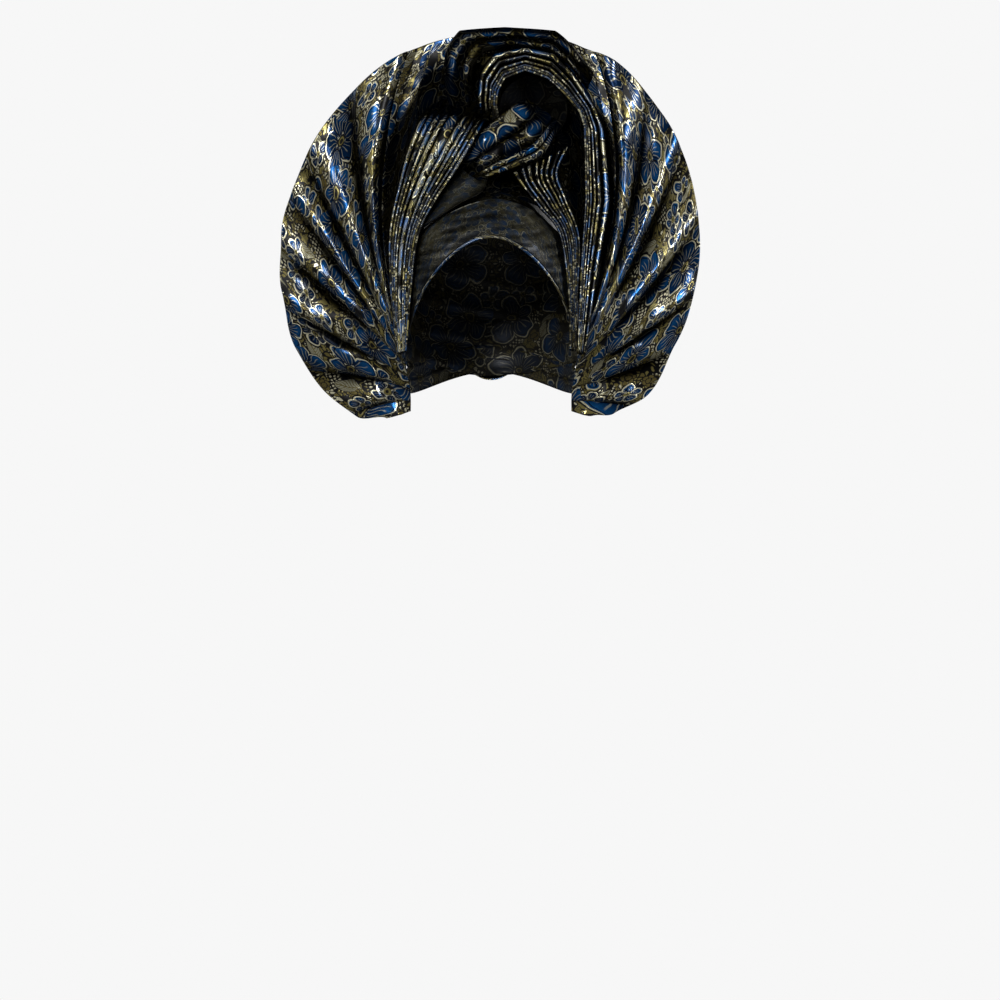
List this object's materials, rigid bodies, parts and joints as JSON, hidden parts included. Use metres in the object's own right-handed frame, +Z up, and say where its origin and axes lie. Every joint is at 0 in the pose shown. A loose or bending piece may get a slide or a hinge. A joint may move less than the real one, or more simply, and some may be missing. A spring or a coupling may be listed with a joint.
{
  "type": "tied gele head tie",
  "caption": "stiff brocade head tie with a fitted wrap, round pleated fan of two wings, fine pleats and a swirled rosette, tied behind the head; worn as a dress head covering",
  "frame": {"origin": "middle of the head opening at brow height, where the tie sits on the head", "axes": "+Z up, the face looks along -Y, +X to the viewer's right seen from the front"},
  "size_m": [0.3553, 0.2042, 0.3343],
  "materials": {
    "brocade_wing": "satin",
    "brocade_pleats": "satin",
    "plain_weave": "satin"
  },
  "bodies": {
    "root": {"head_wrap": "plain_weave", "brow_fold": "plain_weave", "left_wing": "brocade_wing", "right_wing": "brocade_wing", "left_pleats": "brocade_pleats", "right_pleats": "brocade_pleats", "inner_pleats": "brocade_pleats", "under_fold": "plain_weave", "crest_fold": "brocade_wing", "rosette_tongue": "brocade_wing", "rosette_cup": "plain_weave", "back_tie": "brocade_pleats", "back_knot": "brocade_pleats"}
  },
  "joints": []
}
